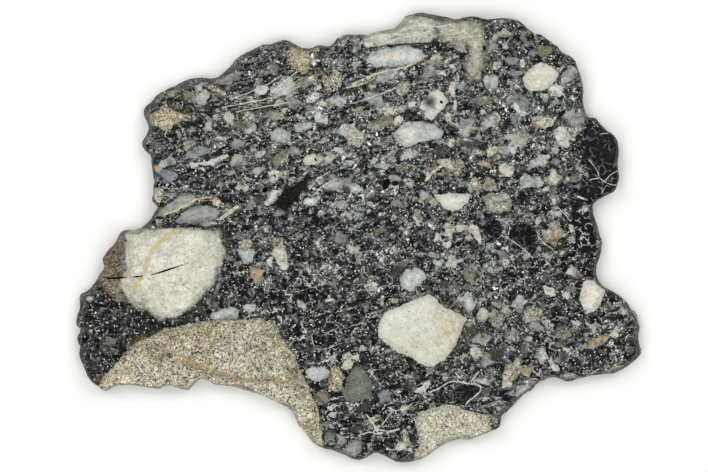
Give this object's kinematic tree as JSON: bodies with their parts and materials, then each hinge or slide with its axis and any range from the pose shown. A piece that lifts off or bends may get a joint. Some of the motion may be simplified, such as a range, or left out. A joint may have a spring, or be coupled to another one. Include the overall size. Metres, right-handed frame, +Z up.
{
  "type": "lunar meteorite slice",
  "caption": "Thin sawn slice of lunar breccia: pale and black clasts in a dark matrix, two flat cut faces and a lumpy weathered rim. It lies flat on its lower face.",
  "frame": {"origin": "middle of the slice's bounding box, on its lower sawn face", "axes": "+X along the longest way across the cut face, +Y across it, +Z up through the thickness, towards the polished face"},
  "size_m": [0.071, 0.0566, 0.0024],
  "materials": {
    "breccia": "sawn and lightly polished, semi-matte"
  },
  "bodies": {
    "root": {"slice": "breccia"}
  },
  "joints": []
}
